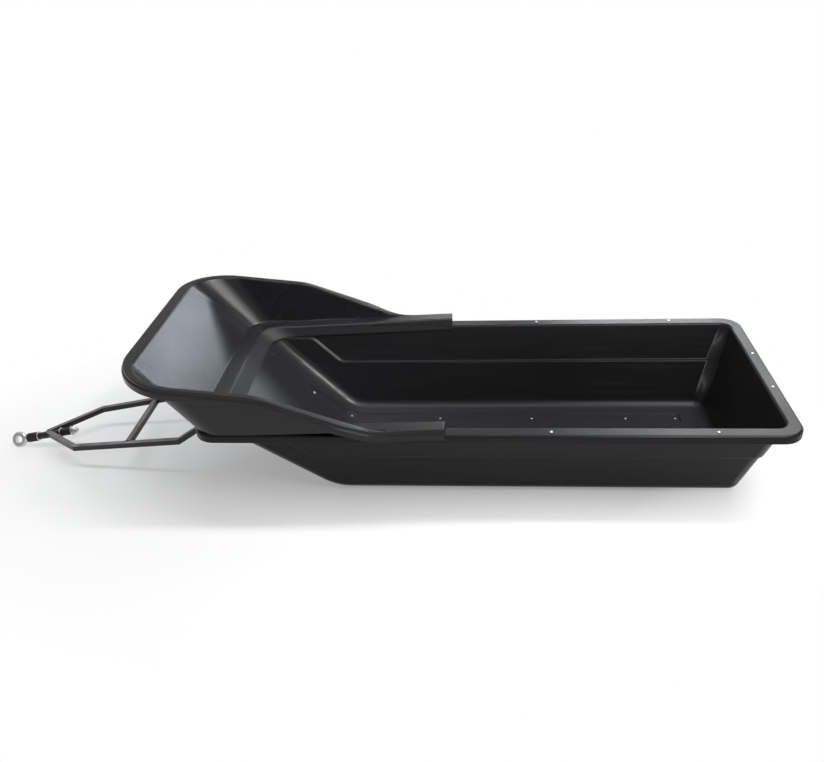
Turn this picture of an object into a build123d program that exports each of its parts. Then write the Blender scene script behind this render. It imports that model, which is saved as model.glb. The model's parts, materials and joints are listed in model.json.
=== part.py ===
from build123d import *
import os
from math import asin, atan, cos, degrees, radians, sin, sqrt, tan

# Cargo pulk: a moulded tub on two runner keels, a moulded front fender on its rim, and a hinged
# drawbar with a swivelling tow eye. Millimetres, X forward, Y left, Z up, ground at Z = 0.

# Overall
tub_length = 2000.0
tub_width = 880.0
rim_height = 337.0
drawbar_reach = 927.0

# Tub sheet and walls
tub_sheet = 5.0
side_rim_width = 48.4
rear_rim_width = 40.0
front_rim_width = 48.1
side_lean = 15.6
rear_lean = 16.7
ramp_lean = 50.0
tub_corner_radius = 45.0
ramp_bend_radius = 170.0

# Step pressed into the side walls, rising parallel to the ramp into a collar under the rim
step_width = 12.0
step_height = 192.0
step_setback = 165.0
collar_depth = 46.0
step_bend_radius = 60.0

# Rim
rim_lip = 30.0
rim_corner_radius = 75.0
rim_edge_chamfer = 6.0
rim_inner_chamfer = 5.0

# Runner keels pressed into the floor, and the steel strips under them
keel_spacing = 390.0
keel_width = 68.0
keel_depth = 6.0
keel_edge_chamfer = 3.0
keel_rear_setback = 235.0
keel_front_setback = 258.0
strip_width = 40.0
strip_thickness = 3.0
strip_end_setback = 14.0

# Fender sheet: band on the rim, lip inside the tub, upright wall, top flange and turned-down edge
fender_sheet = 4.0
fender_gap = 0.3
fender_height = 221.0
panel_lean = 42.8
fender_side_lean = 5.5
corner_foot_setback = 86.0
corner_top_setback = 146.0
flange_front_reach = 240.0
flange_half_width = 482.0
flange_corner_radius = 205.0
fender_tail_setback = 850.0
tail_half_width = 453.0
tail_taper_start = 500.0
tail_taper_end = 690.0
tail_bend_radius = 250.0
inner_lip_depth = 38.0
inner_lip_corner_radius = 95.0
edge_depth = 38.0
edge_step_depth = 14.0
edge_step_width = 6.0

# Shoulder of the wall, foot of its slope, and where the band leaves the rim, each as the
# distance behind the front of the rim and the height above the rim
shoulder_setback = 250.0
shoulder_height = 164.0
shoulder_radius = 300.0
slope_foot_setback = 625.0
slope_foot_radius = 220.0
band_lift_setback = 200.0
band_tail_lift = 25.0

# Drawbar of square tube
tube_size = 20.0
tube_wall = 2.0
hinge_spacing = 366.0
nose_spacing = 283.0
hinge_setback = 60.0
hinge_height = 288.0
rear_kink_reach = 154.5
rear_kink_height = 145.0
nose_run = 179.0
apex_setback = 39.5
apex_lift = 8.8
cross_tube_reach = 365.0

# Hinge of the drawbar
hinge_pin_diameter = 12.0
hinge_pin_clearance = 0.1
hinge_bush_diameter = 28.0
hinge_bush_length = 26.0
hinge_side_gap = 1.0
ear_thickness = 5.0
ear_radius = 17.0
hinge_plate_width = 560.0
hinge_plate_length = 84.0
hinge_plate_thickness = 4.0
hinge_plate_corner_radius = 5.0
hinge_plate_rim_gap = 10.0
pin_head_diameter = 19.0
pin_head_thickness = 8.0

# Tow eye, its rod and what is on the rod
eye_diameter = 62.0
eye_hole_diameter = 30.0
eye_thickness = 18.0
eye_edge_chamfer = 4.0
eye_roll = 30.0
rod_pitch = 10.5
rod_diameter = 16.0
rod_clearance = 0.1
collar_gap = 2.0
collar_diameter = 35.0
collar_thickness = 6.0
front_damper_diameter = 37.0
front_damper_length = 47.0
rear_damper_diameter = 31.0
rear_damper_length = 46.0
sleeve_diameter = 28.0
sleeve_length = 96.0
washer_diameter = 38.0
washer_thickness = 3.0
rod_joint_gap = 0.3
nut_width = 24.0
nut_thickness = 14.0
rod_end_length = 8.0

# Places worked out from the driving sizes
overall_length = tub_length + drawbar_reach
rear_x = -overall_length / 2
front_x = rear_x + tub_length
floor_height = keel_depth + strip_thickness
wall_height = rim_height - floor_height
side_rise = tan(radians(side_lean))
rear_rise = tan(radians(rear_lean))
ramp_rise = tan(radians(ramp_lean))
floor_rear_x = rear_x + rear_rim_width + rear_rise * wall_height
floor_front_x = front_x - front_rim_width - ramp_rise * wall_height
floor_half_width = tub_width / 2 - side_rim_width - step_width - side_rise * wall_height
above_rim = rim_height + fender_height + inner_lip_depth
wide = 2 * tub_width
tube_bore = tube_size - 2 * tube_wall
keel_rows = {"left": keel_spacing / 2, "right": -keel_spacing / 2}
arm_rows = {"left": hinge_spacing / 2, "right": -hinge_spacing / 2}
os.makedirs("parts", exist_ok=True)


def save(piece, name):
    """Labels a piece and writes it as its own file."""
    piece.label = name
    export_step(piece, f"parts/{name}.step")


def ramp_x(height, inset=0.0):
    """X of the ramp's outer face at a height, moved in by a distance along its normal."""
    return floor_front_x + ramp_rise * (height - floor_height) - inset / cos(radians(ramp_lean))


def wall_box(height, inset, widen):
    """Rear X, front X and half width of the tub's walls at a height, moved in by a distance."""
    back = floor_rear_x - rear_rise * (height - floor_height) + inset / cos(radians(rear_lean))
    half = floor_half_width + widen + side_rise * (height - floor_height) - inset / cos(radians(side_lean))
    return back, ramp_x(height, inset), half


def lean_plane(half_width, height, lean, side):
    """Plane of a side wall that leans outwards, facing out, from its half width at a height."""
    return Plane(
        origin=(0, side * half_width, height),
        x_dir=(1, 0, 0),
        z_dir=(0, side * cos(radians(lean)), -sin(radians(lean))),
    )


def is_bend_line(edge):
    """Whether an edge runs straight across the tub where the ramp's bend meets the floor or the ramp."""
    across = abs(edge.tangent_at(0.5).Y) > 0.9
    return across and edge.center().X > floor_front_x - ramp_bend_radius


def tub_form(inset, widen, top):
    """Solid inside the tub's walls: leaning walls, a ramp at the front and rounded edges."""
    bottom = floor_height + inset
    low_back, low_front, half = wall_box(bottom, inset, widen)
    high_back, high_front, _ = wall_box(top, inset, widen)
    with BuildPart() as form:
        with BuildSketch(Plane.XZ):
            with BuildLine():
                FilletPolyline(
                    (low_back, bottom),
                    (low_front, bottom),
                    (high_front, top),
                    radius=ramp_bend_radius - inset,
                )
                Polyline((high_front, top), (high_back, top), (low_back, bottom))
            make_face()
        extrude(amount=wide, both=True)
        for side in (-1, 1):
            split(bisect_by=lean_plane(half, bottom, side_lean, side), keep=Keep.BOTTOM)
        rim_edges = form.edges().group_by(Axis.Z)[-1]
        corners = [edge for edge in form.edges() if edge not in rim_edges and not is_bend_line(edge)]
        fillet(corners, tub_corner_radius - inset)
    return form.part


def step_zone(inset):
    """Region above the step line of the side walls, moved in by a distance."""
    low = step_height + inset
    high = rim_height - collar_depth + inset
    points = [
        (rear_x, low),
        (ramp_x(low, inset) - step_setback, low),
        (ramp_x(high, inset) - step_setback, high),
        (front_x, high),
    ]
    with BuildPart() as zone:
        with BuildSketch(Plane.XZ):
            with BuildLine():
                FilletPolyline(*points, radius=step_bend_radius)
                Polyline(points[-1], (front_x, above_rim), (rear_x, above_rim), points[0])
            make_face()
        extrude(amount=wide, both=True)
    return zone.part


def bottom_run(depth, rear_setback, front_setback, row, width, length):
    """Solid along the floor and up the ramp: from inside the hull out to a depth below its skin."""
    skin = floor_height - depth
    rear = rear_x + rear_setback
    end_height = floor_height + (front_x - front_setback - floor_front_x) / ramp_rise
    out_x, out_z = cos(radians(ramp_lean)), -sin(radians(ramp_lean))
    points = [
        (rear, skin),
        (ramp_x(skin, -depth), skin),
        (ramp_x(end_height) + depth * out_x, end_height + depth * out_z),
    ]
    inside = [
        (ramp_x(end_height) - length * out_x, end_height - length * out_z),
        (ramp_x(floor_height + length, length), floor_height + length),
        (rear, floor_height + length),
    ]
    with BuildPart() as run:
        with BuildSketch(Plane.XZ.offset(-row)):
            with BuildLine():
                FilletPolyline(*points, radius=ramp_bend_radius + depth)
                Polyline(points[-1], inside[0])
                FilletPolyline(*inside, radius=ramp_bend_radius - length)
                Polyline(inside[-1], points[0])
            make_face()
        extrude(amount=width / 2, both=True)
    return run.part


# Tub: leaning walls and ramp, stepped sides, rim with a turned-down lip, two runner keels
outer_lower = tub_form(0.0, 0.0, rim_height)
outer_upper = tub_form(0.0, step_width, rim_height)
inner_lower = tub_form(tub_sheet, 0.0, above_rim)
inner_upper = tub_form(tub_sheet, step_width, above_rim)
outer_zone = step_zone(0.0)
inner_zone = step_zone(tub_sheet)
keel_inside = tub_sheet + keel_depth

with BuildPart() as cavity:
    add(inner_upper)
    add(inner_zone, mode=Mode.INTERSECT)
    add(inner_lower)

with BuildPart() as rim:
    with BuildSketch(Plane.XY.offset(rim_height - rim_lip)):
        with Locations((rear_x + tub_length / 2, 0)):
            RectangleRounded(tub_length, tub_width, rim_corner_radius)
    extrude(amount=rim_lip)
    with BuildSketch(Plane.XY.offset(rim_height - rim_lip)):
        with Locations((rear_x + tub_length / 2, 0)):
            RectangleRounded(
                tub_length - 2 * tub_sheet,
                tub_width - 2 * tub_sheet,
                rim_corner_radius - tub_sheet,
            )
    extrude(amount=rim_lip - tub_sheet, mode=Mode.SUBTRACT)

keels = []
grooves = []
for row in keel_rows.values():
    with BuildPart() as keel:
        add(bottom_run(keel_depth, keel_rear_setback, keel_front_setback, row, keel_width, tub_sheet / 2))
        chamfer(keel.faces().sort_by(Axis.Z)[0].edges().filter_by(Axis.X), keel_edge_chamfer)
    keels.append(keel.part)
    grooves.append(
        bottom_run(
            keel_depth - tub_sheet,
            keel_rear_setback + tub_sheet,
            keel_front_setback + tub_sheet,
            row,
            keel_width - 2 * tub_sheet,
            keel_inside,
        )
    )

with BuildPart() as tub:
    add(outer_upper)
    add(outer_zone, mode=Mode.INTERSECT)
    add(outer_lower)
    add(rim.part)
    for keel in keels:
        add(keel)
    add(cavity.part, mode=Mode.SUBTRACT)
    for groove in grooves:
        add(groove, mode=Mode.SUBTRACT)
    rim_top = tub.faces().filter_by(Axis.Z).sort_by(Axis.Z)[-1]
    chamfer(rim_top.inner_wires().edges(), rim_inner_chamfer)
    rim_top = tub.faces().filter_by(Axis.Z).sort_by(Axis.Z)[-1]
    chamfer(rim_top.outer_wire().edges(), rim_edge_chamfer)
save(tub.part, "tub")


# Wear strips: flat steel bars under the keels, bent up the ramp with them
for side, row in keel_rows.items():
    with BuildPart() as strip:
        add(
            bottom_run(
                keel_depth + strip_thickness,
                keel_rear_setback + strip_end_setback,
                keel_front_setback + strip_end_setback,
                row,
                strip_width,
                0.0,
            )
        )
        add(
            bottom_run(keel_depth, 0.0, 0.0, row, keel_width, tub_sheet / 2),
            mode=Mode.SUBTRACT,
        )
    save(strip.part, f"wear_strip_{side}")


# Fender
def leaning_form(low, high, front_low, front_high, half, lean):
    """Solid between two heights with a leaning front and leaning sides, and square upright corners."""
    tail = front_x - fender_tail_setback
    with BuildPart() as form:
        with BuildSketch(Plane.XZ):
            with BuildLine():
                Polyline((tail, low), (front_low, low), (front_high, high), (tail, high), close=True)
            make_face()
        extrude(amount=wide, both=True)
        for side in (-1, 1):
            split(bisect_by=lean_plane(half, low, lean, side), keep=Keep.BOTTOM)
    return form.part


def lip_form(inset):
    """Solid inside the fender's lip, which follows the tub's walls but rounds its corners more."""
    low = rim_height - rim_lip - inner_lip_depth
    _, front_low, half = wall_box(low, inset, step_width)
    with BuildPart() as form:
        add(leaning_form(low, above_rim, front_low, ramp_x(above_rim, inset), half, side_lean))
        upright = form.edges().filter_by(lambda edge: abs(edge.tangent_at(0.5).Z) > 0.1)
        fillet(upright.group_by(Axis.X)[-1], inner_lip_corner_radius - inset)
    return form.part


def fender_form(inset):
    """Solid inside the fender's wall: a panel that leans forward, and conical corners that widen upwards."""
    top = rim_height + fender_height + flange_front_reach
    panel_x, panel_z = cos(radians(panel_lean)), sin(radians(panel_lean))
    front_low = front_x - inset / panel_x
    front_high = front_low + panel_z / panel_x * (top - rim_height)
    half = tub_width / 2 - inset / cos(radians(fender_side_lean))
    with BuildPart() as form:
        add(leaning_form(rim_height, top, front_low, front_high, half, fender_side_lean))
        for side in (-1, 1):
            corner, chord = fender_corner(side, inset, top)
            split(bisect_by=chord, keep=Keep.BOTTOM)
            add(corner)
    return form.part


def fender_corner(side, inset, top):
    """Conical corner of the fender's wall, and the plane of its chord, which faces outwards.

    The cone touches the panel and the side wall along two lines that meet at its apex, far below the rim.
    """
    panel_out = Vector(cos(radians(panel_lean)), 0, -sin(radians(panel_lean)))
    side_out = Vector(0, side * cos(radians(fender_side_lean)), -sin(radians(fender_side_lean)))
    edge = (panel_out.cross(side_out) * side).normalized()
    inwards = (panel_out + side_out).normalized() * -1
    half_turn = sqrt((1 + panel_out.dot(side_out)) / 2)
    apex_drop = corner_foot_setback * fender_height / (corner_top_setback - corner_foot_setback)
    apex = Vector(front_x, side * tub_width / 2, rim_height) - edge * (apex_drop / edge.Z)
    edge_turn = atan(abs(edge.Y) * cos(radians(panel_lean)) / edge.Z)
    line_turn = atan(tan(edge_turn) - corner_foot_setback * cos(radians(panel_lean)) / apex_drop)
    axis_turn = atan(tan(edge_turn - line_turn) / sqrt(1 - half_turn**2))
    axis = edge * cos(axis_turn) + inwards * sin(axis_turn)
    cone_angle = asin(half_turn * sin(axis_turn))
    apex = apex + axis * (inset / sin(cone_angle))
    panel_line = axis + panel_out * sin(cone_angle)
    side_line = axis + side_out * sin(cone_angle)
    chord = Plane(origin=apex, x_dir=panel_line, z_dir=panel_line.cross(side_line) * -side)
    length = 2 * (top - apex.Z)
    with BuildPart() as corner:
        with Locations(Plane(origin=apex, z_dir=axis)):
            Cone(0, length * tan(cone_angle), length, align=(Align.CENTER, Align.CENTER, Align.MIN))
        split(bisect_by=chord, keep=Keep.TOP)
        split(bisect_by=Plane.XY.offset(rim_height), keep=Keep.TOP)
        split(bisect_by=Plane.XY.offset(top), keep=Keep.BOTTOM)
    return corner.part, chord


def under(points, radii, drop):
    """Region below a profile of the fender seen from the side, lowered by a distance."""
    places = [(front_x + x, rim_height + z - drop) for x, z in points]
    floor = rim_height - rim_lip - inner_lip_depth
    with BuildPart() as region:
        with BuildSketch(Plane.XZ):
            with BuildLine():
                FilletPolyline(*places, radius=radii)
                Polyline(places[-1], (places[-1][0], floor), (places[0][0], floor), places[0])
            make_face()
        extrude(amount=wide, both=True)
    return region.part


def flange_outline(inset):
    """Plan of the turned-down edge: square front with round corners, narrowing onto the rim at the tail."""
    half = flange_half_width - inset
    tail = tail_half_width - inset
    nose = front_x + flange_front_reach - inset
    rear = front_x - fender_tail_setback
    left = [
        (rear, tail),
        (front_x - tail_taper_end, tail),
        (front_x - tail_taper_start, half),
        (nose, half),
        (nose, 0),
    ]
    radii = [tail_bend_radius, tail_bend_radius, flange_corner_radius - inset]
    with BuildPart() as outline:
        with BuildSketch(Plane.XY.offset(rim_height - rim_lip - inner_lip_depth)):
            with BuildLine():
                FilletPolyline(*left, radius=radii)
                Polyline(left[-1], (rear, 0), left[0])
            make_face()
            mirror(about=Plane.XZ)
        extrude(amount=rim_lip + inner_lip_depth + fender_height + flange_front_reach)
    return outline.part


# Side profiles of the fender, from the tail forwards: distance ahead of the rim, height above it
foot_share = (slope_foot_setback - band_lift_setback) / (fender_tail_setback - band_lift_setback)
foot_lift = band_tail_lift * foot_share
band_profile = [
    (-fender_tail_setback, band_tail_lift),
    (-band_lift_setback, 0.0),
    (2 * flange_front_reach, 0.0),
]
top_slope = (fender_height - shoulder_height) / (flange_front_reach + shoulder_setback)
top_profile = [
    (-fender_tail_setback, band_tail_lift + fender_sheet),
    (-slope_foot_setback, foot_lift + fender_sheet),
    (-shoulder_setback, shoulder_height),
    (2 * flange_front_reach, fender_height + top_slope * flange_front_reach),
]
band_radii = [shoulder_radius]
top_radii = [slope_foot_radius, shoulder_radius]
lip_inset = tub_sheet + fender_gap

wall_outer = fender_form(0.0)
wall_inner = fender_form(fender_sheet)
lip_outer = lip_form(lip_inset)
lip_inner = lip_form(lip_inset + fender_sheet)
edge_outer = flange_outline(0.0)
edge_inner = flange_outline(fender_sheet)
step_outer = flange_outline(edge_step_width)
step_inner = flange_outline(edge_step_width + fender_sheet)
under_top = under(top_profile, top_radii, 0.0)
under_flange = under(top_profile, top_radii, fender_sheet)
under_step = under(top_profile, top_radii, edge_step_depth)
under_ledge = under(top_profile, top_radii, edge_step_depth + fender_sheet)
under_edge = under(top_profile, top_radii, edge_depth)
over_band = under(band_profile, band_radii, -fender_sheet)
under_band = under(band_profile, band_radii, 0.0)
under_lip = under(band_profile, band_radii, inner_lip_depth)

with BuildPart() as wall:
    add(wall_outer)
    add(wall_inner, mode=Mode.SUBTRACT)
    add(under_top, mode=Mode.INTERSECT)
    add(under_band, mode=Mode.SUBTRACT)

with BuildPart() as flange:
    add(step_outer)
    add(wall_inner, mode=Mode.SUBTRACT)
    add(under_top, mode=Mode.INTERSECT)
    add(under_flange, mode=Mode.SUBTRACT)

with BuildPart() as edge_above:
    add(step_outer)
    add(step_inner, mode=Mode.SUBTRACT)
    add(under_top, mode=Mode.INTERSECT)
    add(under_ledge, mode=Mode.SUBTRACT)

with BuildPart() as ledge:
    add(edge_outer)
    add(step_inner, mode=Mode.SUBTRACT)
    add(under_step, mode=Mode.INTERSECT)
    add(under_ledge, mode=Mode.SUBTRACT)

with BuildPart() as edge_below:
    add(edge_outer)
    add(edge_inner, mode=Mode.SUBTRACT)
    add(under_step, mode=Mode.INTERSECT)
    add(under_edge, mode=Mode.SUBTRACT)

with BuildPart() as band:
    add(wall_outer)
    add(lip_inner, mode=Mode.SUBTRACT)
    add(over_band, mode=Mode.INTERSECT)
    add(under_band, mode=Mode.SUBTRACT)

with BuildPart() as lip:
    add(lip_outer)
    add(lip_inner, mode=Mode.SUBTRACT)
    add(over_band, mode=Mode.INTERSECT)
    add(under_lip, mode=Mode.SUBTRACT)

with BuildPart() as fender:
    add(wall.part)
    add(flange.part)
    add(edge_above.part)
    add(ledge.part)
    add(edge_below.part)
    add(band.part)
    add(lip.part)
save(fender.part, "fender")


# Drawbar: two bent arms of square tube with hinge bushes, a cross tube and a nose sleeve
hinge_x = front_x - hinge_setback
rod_x, rod_z = cos(radians(rod_pitch)), -sin(radians(rod_pitch))
eye_radius = eye_diameter / 2
hole_lift = sin(radians(eye_roll))
hole_axis = Vector(-hole_lift * rod_z, cos(radians(eye_roll)), hole_lift * rod_x)


def reach_of_eye(along):
    """How far the chamfered eye reaches from its centre in a direction with this share of its hole's axis."""
    across = sqrt(1 - along**2)
    rim = eye_radius * across + (eye_thickness / 2 - eye_edge_chamfer) * abs(along)
    face = (eye_radius - eye_edge_chamfer) * across + eye_thickness / 2 * abs(along)
    return max(rim, face)


eye_x = overall_length / 2 - reach_of_eye(hole_axis.X)
eye_z = reach_of_eye(hole_axis.Z)


def rod_plane(distance):
    """Plane square to the rod, facing back along it, at a distance behind the eye's centre."""
    origin = (eye_x - rod_x * distance, 0, eye_z - rod_z * distance)
    return Plane(origin=origin, x_dir=(0, 1, 0), z_dir=(-rod_x, 0, -rod_z))


# Stations along the rod, as distances behind the eye's centre
collar_at = eye_radius + collar_gap
front_damper_at = collar_at + collar_thickness
front_washer_at = front_damper_at + front_damper_length
sleeve_at = front_washer_at + washer_thickness + rod_joint_gap
rear_washer_at = sleeve_at + sleeve_length + rod_joint_gap
rear_damper_at = rear_washer_at + washer_thickness
end_washer_at = rear_damper_at + rear_damper_length
nut_at = end_washer_at + washer_thickness
rod_end_at = nut_at + nut_thickness + rod_end_length
rod_root_at = (eye_diameter + eye_hole_diameter) / 4

# The arms' bends, with the apex where they meet on the nose sleeve
apex_x = eye_x - rod_x * (sleeve_at + apex_setback)
apex_height = eye_z - rod_z * (sleeve_at + apex_setback) + apex_lift
rear_kink_x = front_x + rear_kink_reach
front_kink_x = apex_x - nose_run
cross_x = front_x + cross_tube_reach
tube_pitch = (rear_kink_height - apex_height) / (apex_x - rear_kink_x)
front_kink_height = rear_kink_height - tube_pitch * (front_kink_x - rear_kink_x)
cross_height = rear_kink_height - tube_pitch * (cross_x - rear_kink_x)
nose_share = nose_spacing / hinge_spacing
cross_share = (front_kink_x - cross_x) / (front_kink_x - rear_kink_x)
cross_length = nose_spacing + (hinge_spacing - nose_spacing) * cross_share

arm_cores = []
for side, row in arm_rows.items():
    inward = -1 if row > 0 else 1
    path = [
        (hinge_x, row, hinge_height),
        (rear_kink_x, row, rear_kink_height),
        (front_kink_x, row * nose_share, front_kink_height),
        (apex_x, 0, apex_height),
    ]
    run = Vector(*path[1]) - Vector(*path[0])
    start = Plane(origin=path[0], x_dir=(0, 1, 0), z_dir=run)
    with BuildPart() as core:
        with BuildLine():
            Polyline(*path)
        with BuildSketch(start):
            Rectangle(tube_size, tube_size)
        sweep(transition=Transition.RIGHT)
    arm_cores.append(core.part)
    with BuildPart() as arm:
        with BuildLine():
            Polyline(*path)
        with BuildSketch(start):
            Rectangle(tube_size, tube_size)
            Rectangle(tube_bore, tube_bore, mode=Mode.SUBTRACT)
        sweep(transition=Transition.RIGHT)
        with BuildSketch(Plane.XZ.offset(-row)):
            with Locations((hinge_x, hinge_height)):
                Circle(hinge_bush_diameter / 2)
        extrude(amount=hinge_bush_length / 2, both=True)
        with BuildSketch(Plane.XZ.offset(-row)):
            with Locations((hinge_x, hinge_height)):
                Circle(hinge_pin_diameter / 2 + hinge_pin_clearance)
        extrude(amount=tube_size, both=True, mode=Mode.SUBTRACT)
        with BuildSketch(rod_plane(sleeve_at)):
            Circle(sleeve_diameter / 2)
        extrude(amount=sleeve_length, mode=Mode.SUBTRACT)
        with BuildSketch(Plane.XZ):
            with Locations((apex_x, apex_height)):
                Rectangle(hinge_spacing, hinge_spacing)
        extrude(amount=-inward * hinge_spacing, mode=Mode.SUBTRACT)
    save(arm.part, f"drawbar_arm_{side}")

with BuildPart() as cross_tube:
    with BuildSketch(Plane.XZ):
        with Locations((cross_x, cross_height)):
            Rectangle(tube_size, tube_size, rotation=-degrees(atan(tube_pitch)))
            Rectangle(tube_bore, tube_bore, rotation=-degrees(atan(tube_pitch)), mode=Mode.SUBTRACT)
    extrude(amount=cross_length / 2, both=True)
    for core in arm_cores:
        add(core, mode=Mode.SUBTRACT)
    add(cross_tube.solids().sort_by(SortBy.VOLUME)[-1], mode=Mode.REPLACE)
save(cross_tube.part, "cross_tube")

with BuildPart() as nose_sleeve:
    with BuildSketch(rod_plane(sleeve_at)):
        Circle(sleeve_diameter / 2)
        Circle(rod_diameter / 2 + rod_clearance, mode=Mode.SUBTRACT)
    extrude(amount=sleeve_length)
save(nose_sleeve.part, "nose_sleeve")


# Hinge plate bolted under the front rim, with a pair of ears for each arm, and the hinge pins
plate_top = rim_height - tub_sheet - hinge_plate_rim_gap
plate_middle = plate_top - hinge_plate_length / 2 * cos(radians(ramp_lean))
plate_plane = Plane(
    origin=(ramp_x(plate_middle), 0, plate_middle),
    x_dir=(0, 1, 0),
    z_dir=(cos(radians(ramp_lean)), 0, -sin(radians(ramp_lean))),
)
ear_offset = hinge_bush_length / 2 + hinge_side_gap
out_x, out_z = cos(radians(ramp_lean)), -sin(radians(ramp_lean))
along_x, along_z = sin(radians(ramp_lean)), cos(radians(ramp_lean))
pin_off_ramp = (hinge_x - ramp_x(hinge_height)) * out_x
foot_x = hinge_x - pin_off_ramp * out_x
foot_z = hinge_height - pin_off_ramp * out_z
ear_seat_x = foot_x + hinge_plate_thickness * out_x
ear_seat_z = foot_z + hinge_plate_thickness * out_z
ear_across_x = ear_radius * along_x
ear_across_z = ear_radius * along_z

with BuildPart() as hinge_plate:
    with BuildSketch(plate_plane):
        RectangleRounded(hinge_plate_width, hinge_plate_length, hinge_plate_corner_radius)
    extrude(amount=hinge_plate_thickness)
    for row in arm_rows.values():
        for face in (-ear_offset - ear_thickness, ear_offset):
            with BuildSketch(Plane.XZ.offset(-row - face - ear_thickness)):
                with BuildLine():
                    Polyline(
                        (ear_seat_x - ear_across_x, ear_seat_z - ear_across_z),
                        (ear_seat_x + ear_across_x, ear_seat_z + ear_across_z),
                        (hinge_x + ear_across_x, hinge_height + ear_across_z),
                        (hinge_x - ear_across_x, hinge_height - ear_across_z),
                        close=True,
                    )
                make_face()
                with Locations((hinge_x, hinge_height)):
                    Circle(ear_radius)
                    Circle(hinge_pin_diameter / 2, mode=Mode.SUBTRACT)
            extrude(amount=ear_thickness)
save(hinge_plate.part, "hinge_plate")

for side, row in arm_rows.items():
    grip = ear_offset + ear_thickness
    with BuildPart() as pin:
        with BuildSketch(Plane.XZ.offset(-row - grip)):
            with Locations((hinge_x, hinge_height)):
                Circle(hinge_pin_diameter / 2)
        extrude(amount=2 * grip)
        for face in (-grip - pin_head_thickness, grip):
            with BuildSketch(Plane.XZ.offset(-row - face - pin_head_thickness)):
                with Locations((hinge_x, hinge_height)):
                    RegularPolygon(pin_head_diameter / 2, 6, major_radius=False)
            extrude(amount=pin_head_thickness)
    save(pin.part, f"hinge_pin_{side}")


# Tow eye with its rod, the rubber dampers, washers and nut on it
eye_plane = Plane(origin=(eye_x, 0, eye_z), x_dir=(rod_x, 0, rod_z), z_dir=hole_axis)
with BuildPart() as tow_eye:
    with BuildSketch(eye_plane):
        Circle(eye_radius)
        Circle(eye_hole_diameter / 2, mode=Mode.SUBTRACT)
    extrude(amount=eye_thickness / 2, both=True)
    rims = tow_eye.edges().filter_by(GeomType.CIRCLE).group_by(SortBy.RADIUS)[-1]
    chamfer(rims, eye_edge_chamfer)
    with BuildSketch(rod_plane(rod_root_at)):
        Circle(rod_diameter / 2)
    extrude(amount=rod_end_at - rod_root_at)
    with BuildSketch(rod_plane(collar_at)):
        Circle(collar_diameter / 2)
    extrude(amount=collar_thickness)
save(tow_eye.part, "tow_eye")

# Dampers: name, distance behind the eye, length, diameter
dampers = [
    ("front_damper", front_damper_at, front_damper_length, front_damper_diameter),
    ("rear_damper", rear_damper_at, rear_damper_length, rear_damper_diameter),
]
for name, at, length, diameter in dampers:
    with BuildPart() as damper:
        with BuildSketch(rod_plane(at)):
            Circle(diameter / 2)
            Circle(rod_diameter / 2, mode=Mode.SUBTRACT)
        extrude(amount=length)
    save(damper.part, name)

with BuildPart() as rod_washers:
    for at in (front_washer_at, rear_washer_at, end_washer_at):
        with BuildSketch(rod_plane(at)):
            Circle(washer_diameter / 2)
            Circle(rod_diameter / 2, mode=Mode.SUBTRACT)
        extrude(amount=washer_thickness)
save(rod_washers.part, "rod_washers")

with BuildPart() as rod_nut:
    with BuildSketch(rod_plane(nut_at)):
        RegularPolygon(nut_width / 2, 6, major_radius=False)
        Circle(rod_diameter / 2, mode=Mode.SUBTRACT)
    extrude(amount=nut_thickness)
save(rod_nut.part, "rod_nut")
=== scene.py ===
"""Dresses the towed cargo pulk: moulded shells, riveted runners, hinged drawbar and swivelling tow eye.

Every size is in metres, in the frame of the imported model: X forwards, Y left, Z up, ground at Z = 0.
"""

import json
import logging
from dataclasses import dataclass
from enum import Enum
from math import cos, pi, radians, sin

import bmesh
import bpy
from mathutils import Matrix, Vector
from mathutils.bvhtree import BVHTree

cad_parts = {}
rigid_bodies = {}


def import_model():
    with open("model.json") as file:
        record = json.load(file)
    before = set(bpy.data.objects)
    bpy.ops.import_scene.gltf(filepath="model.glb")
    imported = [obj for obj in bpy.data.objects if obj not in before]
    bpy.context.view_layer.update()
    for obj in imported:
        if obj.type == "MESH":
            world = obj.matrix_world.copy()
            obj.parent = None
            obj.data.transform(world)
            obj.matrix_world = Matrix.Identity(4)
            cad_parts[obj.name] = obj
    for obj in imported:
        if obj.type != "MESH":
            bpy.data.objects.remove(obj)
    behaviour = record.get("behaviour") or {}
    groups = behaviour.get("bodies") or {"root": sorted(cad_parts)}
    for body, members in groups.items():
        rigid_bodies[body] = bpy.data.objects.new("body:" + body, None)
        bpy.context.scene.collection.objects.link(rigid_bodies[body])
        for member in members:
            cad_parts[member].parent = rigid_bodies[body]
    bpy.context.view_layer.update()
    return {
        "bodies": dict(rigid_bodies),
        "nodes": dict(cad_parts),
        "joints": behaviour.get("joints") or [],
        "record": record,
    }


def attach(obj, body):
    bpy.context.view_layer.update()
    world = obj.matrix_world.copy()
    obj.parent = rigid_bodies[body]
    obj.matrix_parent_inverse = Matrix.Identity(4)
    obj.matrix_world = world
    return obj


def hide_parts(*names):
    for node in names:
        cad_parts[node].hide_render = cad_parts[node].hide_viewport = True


LOG = logging.getLogger("pulk")
UP = Vector((0.0, 0.0, 1.0))
Colour = tuple[float, float, float, float]
Point = tuple[float, float, float]
Pair = tuple[float, float]

# centre of the tow eye, on the axis of its rod
EYE_CENTRE: Point = (1.43217, 0.0, 0.02945)

# places of the colour sockets on a Mix node
MIX_SHARE, MIX_FIRST, MIX_SECOND, MIX_RESULT = 0, 6, 7, 2


class Body(Enum):
    """Moving bodies of the pulk."""

    SLED = "sled"
    DRAWBAR = "drawbar"
    EYE = "tow_eye"


class Slot(Enum):
    """Material slots of the record."""

    TUB = "tub_plastic"
    FENDER = "fender_plastic"
    PAINT = "drawbar_paint"
    RUNNER = "runner_steel"
    ZINC = "zinc_steel"
    RUBBER = "damper_rubber"


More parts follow.
